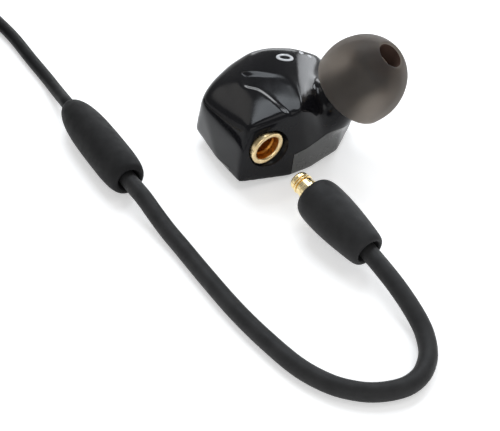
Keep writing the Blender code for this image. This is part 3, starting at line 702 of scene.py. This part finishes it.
def hull(name, points, centre=None, scale=None):
    mesh = bpy.data.meshes.new(name)
    bm = bmesh.new()
    for p in points:
        q = Vector(p)
        if scale:
            q = Vector(centre) + Vector(a * b for a, b in zip(q - Vector(centre), scale))
        bm.verts.new(at(q))
    made = bmesh.ops.convex_hull(bm, input=bm.verts)
    spare = [g for g in made["geom_interior"] + made["geom_unused"] if isinstance(g, bmesh.types.BMVert)]
    bmesh.ops.delete(bm, geom=list(set(spare)), context="VERTS")
    bmesh.ops.recalc_face_normals(bm, faces=bm.faces)
    bm.to_mesh(mesh)
    bm.free()
    obj = bpy.data.objects.new(name, mesh)
    helpers.objects.link(obj)
    return obj


def block(name, size, matrix):
    mesh = bpy.data.meshes.new(name)
    bm = bmesh.new()
    bmesh.ops.create_cube(bm, size=1.0)
    bmesh.ops.scale(bm, vec=Vector(size) * mm, verts=bm.verts)
    bm.transform(matrix)
    bm.to_mesh(mesh)
    bm.free()
    obj = bpy.data.objects.new(name, mesh)
    helpers.objects.link(obj)
    return obj


def boolean(obj, other, operation="DIFFERENCE"):
    made = obj.modifiers.new(operation.lower(), "BOOLEAN")
    made.operation = operation
    made.solver = "EXACT"
    made.object = other
    return made


def applied(obj):
    bpy.context.view_layer.update()
    graph = bpy.context.evaluated_depsgraph_get()
    mesh = bpy.data.meshes.new_from_object(obj.evaluated_get(graph))
    obj.modifiers.clear()
    obj.data = mesh
    return obj


def helper_turned(name, profile, matrix, steps=64):
    obj = turned(name, profile, None, None, (), matrix, 0.0, steps)
    scene.collection.objects.unlink(obj)
    helpers.objects.link(obj)
    return obj


def smoothed(obj, rounds, weight):
    """Moves each vertex towards the middle of its neighbours; weight(co) gives how far, 0 to 1."""
    mesh = obj.data
    count = len(mesh.vertices)
    co = np.empty(count * 3)
    mesh.vertices.foreach_get("co", co)
    co = co.reshape(-1, 3)
    edges = np.empty(len(mesh.edges) * 2, np.int64)
    mesh.edges.foreach_get("vertices", edges)
    edges = edges.reshape(-1, 2)
    degree = np.bincount(edges.ravel(), minlength=count)[:, None].astype(float)
    w = weight(co)[:, None]
    for _ in range(rounds):
        total = np.zeros_like(co)
        for axis in range(3):
            total[:, axis] = (np.bincount(edges[:, 0], co[edges[:, 1], axis], count)
                              + np.bincount(edges[:, 1], co[edges[:, 0], axis], count))
        co = co + (total / degree - co) * w
    mesh.vertices.foreach_set("co", co.ravel())
    mesh.update()
    return obj


def step01(x):
    x = np.clip(x, 0, 1)
    return x * x * (3 - 2 * x)


body = hull("body_form", corners)
neck_form = helper_turned("neck_form", [(0, -6.0), (4.1, -6.0), (3.9, -4.4), (3.65, -3.4), (3.5, -2.4), (3.4, -1.5),
                                        (3.25, -1.2), (0, -1.2)], nozzle_frame)
boolean(body, neck_form, "UNION")
remesh = body.modifiers.new("remesh", "REMESH")
remesh.mode = "VOXEL"
remesh.voxel_size = 0.22 * mm
applied(body)

top_middle = np.array(at((1.0, 10.5, 11.0)))


def softness(co):
    """Crisp at the socket facets and the base, soft over the crown and at the neck."""
    q = co / mm - np.array([OX, OY, 0.0])
    face = np.array([0.385, -0.923, 0.0])
    near = q @ face
    crisp = step01((near - 0.2) / 2.5)              # the socket side
    low = 1 - step01((q[:, 2] - 1.0) / 3.0)         # the base
    return 0.5 * (1 - 0.80 * np.maximum(crisp, low * 0.85))


smoothed(body, 26, softness)


def crown_only(co):
    """The rounded back and crown, well away from the socket side, the base and the tip's neck."""
    q = co / mm - np.array([OX, OY, 0.0])
    face = np.array([0.385, -0.923, 0.0])
    near = q @ face
    away = 1 - step01((near + 4.5) / 4.0)
    high = step01((q[:, 2] - 4.0) / 4.0)
    return 0.5 * away * high


smoothed(body, 60, crown_only)


def collar(co):
    """Where the neck of the tip flows out of the housing."""
    rel = co / mm - np.array([OX, OY, 0.0]) - np.array(TIP_BASE)
    h = rel @ np.array(TIP_DIR)
    out = np.linalg.norm(rel - h[:, None] * np.array(TIP_DIR), axis=1)
    return 0.5 * step01((6.4 - out) / 1.6) * step01((-1.9 - h) / 0.8) * step01((h + 8.5) / 1.5)


smoothed(body, 40, collar)

# the leaf-shaped hollow in the crown, and the fine groove beside the socket's boss
LEAF = [(-4.0, 11.4), (-2.3, 11.0), (-0.6, 10.6), (2.3, 9.6), (3.9, 7.1), (4.8, 2.9), (4.0, 1.5), (2.9, 1.4), (1.3, 3.2),
        (-1.2, 6.4), (-3.4, 8.1)]
LEAF_SHALLOW, LEAF_DEPTH, LEAF_EDGE = 0.10, 0.36, 1.1
mesh = body.data
co = np.empty(len(mesh.vertices) * 3)
mesh.vertices.foreach_get("co", co)
co = co.reshape(-1, 3)
q = co / mm - np.array([OX, OY, 0.0])
leaf = np.array([tuple(v)[:2] for v in spaced(catmull([Vector((*p, 0.0)) for p in LEAF + LEAF[:1]], 6), 0.3)])
inside = np.zeros(len(q), bool)
nearest = np.full(len(q), 1e9)
for (ax, ay), (bx, by) in zip(leaf, np.roll(leaf, -1, 0)):
    if (ax, ay) == (bx, by):
        continue
    cross = (ay > q[:, 1]) != (by > q[:, 1])
    with np.errstate(divide="ignore", invalid="ignore"):
        hit = q[:, 0] < (bx - ax) * (q[:, 1] - ay) / (by - ay) + ax
    inside ^= cross & hit
    d = np.array([bx - ax, by - ay])
    t = np.clip(((q[:, :2] - (ax, ay)) @ d) / (d @ d), 0, 1)
    nearest = np.minimum(nearest, np.linalg.norm(q[:, :2] - ((ax, ay) + t[:, None] * d), axis=1))
into = np.where(inside, nearest, -nearest)
across = np.clip(((q[:, :2] - (-3.4, 8.1)) @ np.array([0.707, 0.707])) / 4.2, 0, 1)   # 0 at the near edge
drop = (LEAF_SHALLOW + LEAF_DEPTH * (1 - across)) * step01((into + 0.25) / LEAF_EDGE) * (q[:, 2] > 9.5)
co[:, 2] -= drop * mm
face, side = np.array([0.385, -0.923, 0.0]), np.array([0.923, 0.385, 0.0])
off = (q - (np.array([-4.0, -1.8, 3.0]) + side * 8.3)) @ (side - np.array([0.0, 0.0, 0.14]))
groove = 0.17 * step01(1 - np.abs(off) / 0.42) * step01((q @ face - 0.2) / 0.5) * step01((10.9 - q[:, 2]) / 1.0)
co -= groove[:, None] * face * mm
mesh.vertices.foreach_set("co", co.ravel())
mesh.update()
smoothed(body, 2, softness)

skin = BVHTree.FromPolygons([v.co.copy() for v in body.data.vertices], [tuple(f.vertices) for f in body.data.polygons])


def printed(name, centre, shapes):
    """Thin flat marks laid on the housing: each is (dx, dy, outer radii, inner radii) about the centre, in mm."""
    verts, faces = [], []
    for dx, dy, (ox, oy), (ix, iy) in shapes:
        loops = [(ix + (ox - ix) * s, iy + (oy - iy) * s) for s in (0.0, 0.5, 1.0)]
        base, steps = len(verts), 40
        for level in (0.018, -0.05):
            for rx, ry in loops:
                for k in range(steps):
                    a = 2 * math.pi * k / steps
                    spot, normal, _, _ = skin.find_nearest(
                        at((centre[0] + dx + rx * math.cos(a), centre[1] + dy + ry * math.sin(a), centre[2])))
                    verts.append(spot + normal * level * mm)
        ring = lambda row, k: base + row * steps + k % steps
        for row_a, row_b in ((0, 1), (1, 2), (2, 5), (5, 4), (4, 3), (3, 0)):
            for k in range(steps):
                faces.append([ring(row_a, k), ring(row_a, k + 1), ring(row_b, k + 1), ring(row_b, k)])
    return mesh_object(name, verts, faces, MARK, "earpiece", ())


printed("mark_oval", (2.7, 14.4, 12.2), [(0, 0, (1.35, 0.98), (0.80, 0.46))])
printed("mark_dots", (5.9, 16.7, 11.2), [(-0.75, 0.0, (0.42, 0.42), (0.02, 0.02)), (0.75, -0.05, (0.42, 0.42), (0.02, 0.02))])

cavity = hull("cavity_form", corners, MIDDLE, (0.86, 0.86, 0.80))
nozzle_hole = helper_turned("nozzle_hole", [(0, -8.0), (2.37, -8.0), (2.37, 2.0), (0, 2.0)], nozzle_frame)
socket_hole = helper_turned("socket_hole", [(0, -8.0), (2.36, -8.0), (2.36, -0.85), (2.84, -0.85), (2.84, -0.25), (3.02, -0.05),
                                            (3.55, 3.0), (0, 3.0)], socket_frame, 96)


def seam_block(name, drop, grow):
    normal = Vector((-SEAM_KX, -SEAM_KY, 1.0)).normalized()
    top = Vector((0.8, 9.0, SEAM_Z + SEAM_KX * 0.8 + SEAM_KY * 9.0 - drop))
    under = block(name, (60, 60, 30), along(top - normal * 15, normal, (1, 0, 0)))
    face = Vector((0.385, -0.923, 0.0)).normalized()
    side = Vector((0.923, 0.385, 0.0))
    mid = Vector((-4.0, -1.8, 3.0)) + side * 3.5 + face * 1.6
    boss = block(name + "_boss", (40, 9.6 + 2 * grow, 8.4 + 2 * grow), along(mid, face, Vector((0, 0, 1)) + side * 0.14))
    boolean(under, boss)
    return applied(under)


under_shell = seam_block("under_shell", -0.02, 0.0)
under_cover = seam_block("under_cover", 0.10, 0.10)

cover = body.copy()
cover.data = body.data.copy()
cover.name = "cover_form"
helpers.objects.link(cover)

for other in (cavity, nozzle_hole, socket_hole, under_shell):
    boolean(body, other)
applied(body)
boolean(cover, under_cover, "INTERSECT")
boolean(cover, cavity)
applied(cover)


def keep_largest(obj):
    """Drops slivers that a cut leaves loose."""
    bm = bmesh.new()
    bm.from_mesh(obj.data)
    bmesh.ops.remove_doubles(bm, verts=bm.verts, dist=2e-7)
    left, groups = set(bm.verts), []
    while left:
        todo, group = [left.pop()], []
        while todo:
            v = todo.pop()
            group.append(v)
            for e in v.link_edges:
                o = e.other_vert(v)
                if o in left:
                    left.remove(o)
                    todo.append(o)
        groups.append(group)
    groups.sort(key=len)
    for group in groups[:-1]:
        bmesh.ops.delete(bm, geom=group, context="VERTS")
    print(obj.name, "groups", [len(g) for g in groups])
    bm.to_mesh(obj.data)
    bm.free()


# the cover takes the lighter grey that paints in the floor's reflection
for form, name, mat, node, slot in ((body, "shell_inner", SHELL, "inner_shell", "shell_black"),
                                    (cover, "shell_cover", COVER_REFLECTED_GREY, "outer_cover", "cover_black")):
    keep_largest(form)
    form.data.materials.clear()
    form.data.materials.append(mat)
    form.data.shade_smooth()
    form.data.set_sharp_from_angle(angle=math.radians(38))
    helpers.objects.unlink(form)
    scene.collection.objects.link(form)
    form.name = name
    finish_piece(form, "earpiece", [node])

for spare in list(helpers.objects):
    bpy.data.objects.remove(spare)
bpy.data.collections.remove(helpers)

# ================================================================ carried-over CAD nodes
for node, mat in {
    "acoustic_damper": DAMPER, "bass_driver": STEEL, "mid_driver": STEEL, "treble_driver": STEEL, "crossover_board": BOARD,
    "crossover_capacitor": CAP, "bass_sound_tube": CLEAR, "treble_sound_tube": CLEAR, "signal_wire": RED, "ground_wire": BLUE,
}.items():
    nodes[node].data.materials.clear()
    nodes[node].data.materials.append(mat)

# ================================================================ stage and light
floor_mesh = bpy.data.meshes.new("floor")
sweep_up = [(0.0, 0.0), (0.5, 0.0), (1.0, 0.0), (1.5, 0.0)] + [
    (1.5 + 0.75 * math.sin(math.radians(a)), 0.75 - 0.75 * math.cos(math.radians(a))) for a in range(6, 73, 6)]
SIDES = 96
floor_verts = [(r * math.cos(2 * math.pi * k / SIDES), r * math.sin(2 * math.pi * k / SIDES), z)
               for r, z in sweep_up[1:] for k in range(SIDES)]
floor_faces = [[k for k in range(SIDES)]]
for row in range(len(sweep_up) - 2):
    for k in range(SIDES):
        n = (k + 1) % SIDES
        floor_faces.append([row * SIDES + k, (row + 1) * SIDES + k, (row + 1) * SIDES + n, row * SIDES + n])
floor_mesh.from_pydata(floor_verts, [], floor_faces)
floor = bpy.data.objects.new("floor", floor_mesh)
scene.collection.objects.link(floor)
floor.location.z = -0.00002
floor_mat, fn, fl, fs = new_material("floor_pale")
fs.inputs["Base Color"].default_value = (0.93, 0.93, 0.93, 1.0)
fs.inputs["Roughness"].default_value = 0.9
fs.inputs["Specular IOR Level"].default_value = 0.1
fs.inputs["Emission Color"].default_value = (1.0, 1.0, 1.0, 1.0)
fs.inputs["Emission Strength"].default_value = 0.40
floor_mesh.materials.append(floor_mat)

world = bpy.data.worlds.new("studio")
scene.world = world
world.use_nodes = True
back = world.node_tree.nodes["Background"]
back.inputs["Color"].default_value = (1.0, 1.0, 1.0, 1.0)
back.inputs["Strength"].default_value = 0.30


def area(name, location, target, size, power, colour=(1.0, 1.0, 1.0), size_y=None):
    data = bpy.data.lights.new(name, "AREA")
    data.energy = power
    data.color = colour
    data.size = size
    if size_y:
        data.shape = "RECTANGLE"
        data.size_y = size_y
    obj = bpy.data.objects.new(name, data)
    scene.collection.objects.link(obj)
    obj.location = location
    obj.rotation_euler = (Vector(target) - Vector(location)).to_track_quat("-Z", "Y").to_euler()
    return obj


area("softbox_top", (-0.078, 0.29, 0.52), (0, 0.0, 0.01), 0.24, 1.25, (0.88, 0.94, 1.0))
area("softbox_side", (0.27, 0.45, 0.16), (0.0, 0.01, 0.01), 0.16, 0.55, (0.93, 0.96, 1.0), 0.18)
area("softbox_high", (0.20, 0.36, 0.33), (0.0, 0.01, 0.01), 0.14, 0.62, (0.90, 0.95, 1.0))
area("strip_back", (0.02, 0.60, 0.15), (0.0, 0.01, 0.01), 0.32, 0.55, (0.95, 0.98, 1.0), 0.12)
area("panel_left", (-0.26, 0.24, 0.30), (0.0, 0.01, 0.01), 0.20, 0.10, (1.0, 0.97, 0.93), 0.12)
area("key_above", (0.18, -0.06, 0.62), (0.0, 0.0, 0.0), 0.30, 0.45)
area("fill_front", (0.06, -0.62, 0.34), (0.0, -0.01, 0.0), 0.55, 1.1, (1.0, 1.0, 1.0), 0.35)

scene.view_settings.view_transform = "Standard"
